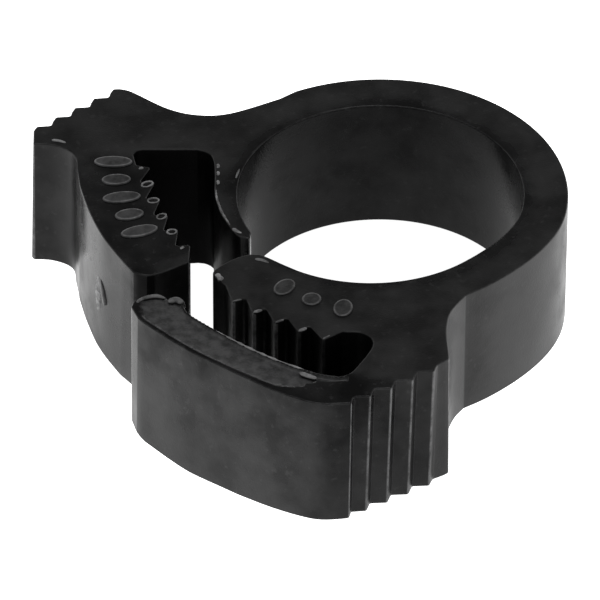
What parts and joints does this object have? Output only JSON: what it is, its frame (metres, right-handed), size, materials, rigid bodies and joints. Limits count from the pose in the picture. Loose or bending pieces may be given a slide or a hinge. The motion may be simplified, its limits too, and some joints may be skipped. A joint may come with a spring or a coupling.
{
  "type": "ratchet hose clamp",
  "caption": "Moulded black plastic double-grip hose clamp: a flexible split ring with a toothed tongue that ratchets into a toothed socket, shown open.",
  "frame": {"origin": "under the middle of the clamp's plan, on the face it lies on", "axes": "+Z along the hose's axis; +X from the jaws towards the ring, across the clamp's length; +Y away from the mouth's side"},
  "size_m": [0.0292, 0.0286, 0.008],
  "materials": {
    "black_nylon": "satin moulded nylon, slightly worn at the edges"
  },
  "bodies": {
    "ring_back": {"band_back": "black_nylon"},
    "ring_left_1": {"band_left_1": "black_nylon"},
    "ring_left_2": {"band_left_2": "black_nylon"},
    "ring_left_3": {"band_left_3": "black_nylon"},
    "ring_left_4": {"band_left_4": "black_nylon"},
    "catch_jaw": {"catch_root": "black_nylon", "catch_grip": "black_nylon", "catch_arm": "black_nylon", "catch_teeth": "black_nylon", "catch_tongue": "black_nylon"},
    "inner_lip": {"catch_lip": "black_nylon"},
    "ring_right_1": {"band_right_1": "black_nylon"},
    "ring_right_2": {"band_right_2": "black_nylon"},
    "ring_right_3": {"band_right_3": "black_nylon"},
    "ring_right_4": {"band_right_4": "black_nylon"},
    "socket_jaw": {"socket_root": "black_nylon", "socket_grip": "black_nylon", "socket_nose": "black_nylon", "socket_teeth": "black_nylon"},
    "outer_arm": {"outer_arm": "black_nylon", "outer_arm_tip": "black_nylon"}
  },
  "joints": [
    {"name": "ring_flex", "type": "hinge", "parent": "ring_back", "child": "ring_left_1", "pos_m": [0.01132, 0.00984, 0.004], "axis": [0, 0, 1], "range_deg": [-15, 2], "stiffness_Nm_per_rad": 0.01},
    {"name": "side_release", "type": "slide", "parent": "ring_left_1", "child": "ring_left_2", "axis": [0, 0, 1], "range_m": [-0.0021, 0.0021], "stiffness_N_per_m": 50},
    {"name": "left_close", "type": "hinge", "parent": "ring_left_2", "child": "ring_left_3", "pos_m": [0.00691, 0.01271, 0.004], "axis": [0, 0, 1], "range_deg": [0, 3.4], "stiffness_Nm_per_rad": 0.01},
    {"name": "side_left", "type": "slide", "parent": "ring_left_3", "child": "ring_left_4", "axis": [0, 0, 1], "range_m": [-0.0021, 0.0021], "stiffness_N_per_m": 50},
    {"name": "catch_root_flex", "type": "hinge", "parent": "ring_left_4", "child": "catch_jaw", "pos_m": [0.00164, 0.01262, 0.004], "axis": [0, 0, 1], "range_deg": [-15, 2], "stiffness_Nm_per_rad": 0.01},
    {"name": "lip_flex", "type": "hinge", "parent": "catch_jaw", "child": "inner_lip", "pos_m": [-0.00382, 0.00684, 0.004], "axis": [0, 0, 1], "range_deg": [0, 13.5], "stiffness_Nm_per_rad": 0.01},
    {"name": "right_close", "type": "hinge", "parent": "ring_back", "child": "ring_right_1", "pos_m": [0.01299, 0.00684, 0.004], "axis": [0, 0, -1], "range_deg": [0, 5.4], "stiffness_Nm_per_rad": 0.01},
    {"name": "side_right_1", "type": "slide", "parent": "ring_right_1", "child": "ring_right_2", "axis": [0, 0, -1], "range_m": [-0.0021, 0.0021], "stiffness_N_per_m": 50},
    {"name": "right_flex", "type": "hinge", "parent": "ring_right_2", "child": "ring_right_3", "pos_m": [0.01304, 0.00158, 0.004], "axis": [0, 0, -1], "range_deg": [-15, 2], "stiffness_Nm_per_rad": 0.01},
    {"name": "side_right_2", "type": "slide", "parent": "ring_right_3", "child": "ring_right_4", "axis": [0, 0, -1], "range_m": [-0.0021, 0.0021], "stiffness_N_per_m": 50},
    {"name": "clamp_close", "type": "hinge", "parent": "ring_right_4", "child": "socket_jaw", "pos_m": [0.00966, -0.00284, 0.004], "axis": [0, 0, -1], "range_deg": [0, 5.4], "stiffness_Nm_per_rad": 0.01},
    {"name": "outer_arm_flex", "type": "hinge", "parent": "socket_jaw", "child": "outer_arm", "pos_m": [0.00265, -0.01294, 0.004], "axis": [0, 0, 1], "range_deg": [0, 10.26], "stiffness_Nm_per_rad": 0.01}
  ],
  "couplings": [
    {"joint": "catch_root_flex", "follows": "ring_flex", "ratio": 1},
    {"joint": "right_flex", "follows": "ring_flex", "ratio": 1},
    {"joint": "right_close", "follows": "clamp_close", "ratio": 1},
    {"joint": "left_close", "follows": "clamp_close", "ratio": 0.63},
    {"joint": "outer_arm_flex", "follows": "clamp_close", "ratio": 1.9},
    {"joint": "lip_flex", "follows": "clamp_close", "ratio": 2.5},
    {"joint": "side_left", "follows": "side_release", "ratio": 1},
    {"joint": "side_right_1", "follows": "side_release", "ratio": 1},
    {"joint": "side_right_2", "follows": "side_release", "ratio": 1}
  ]
}
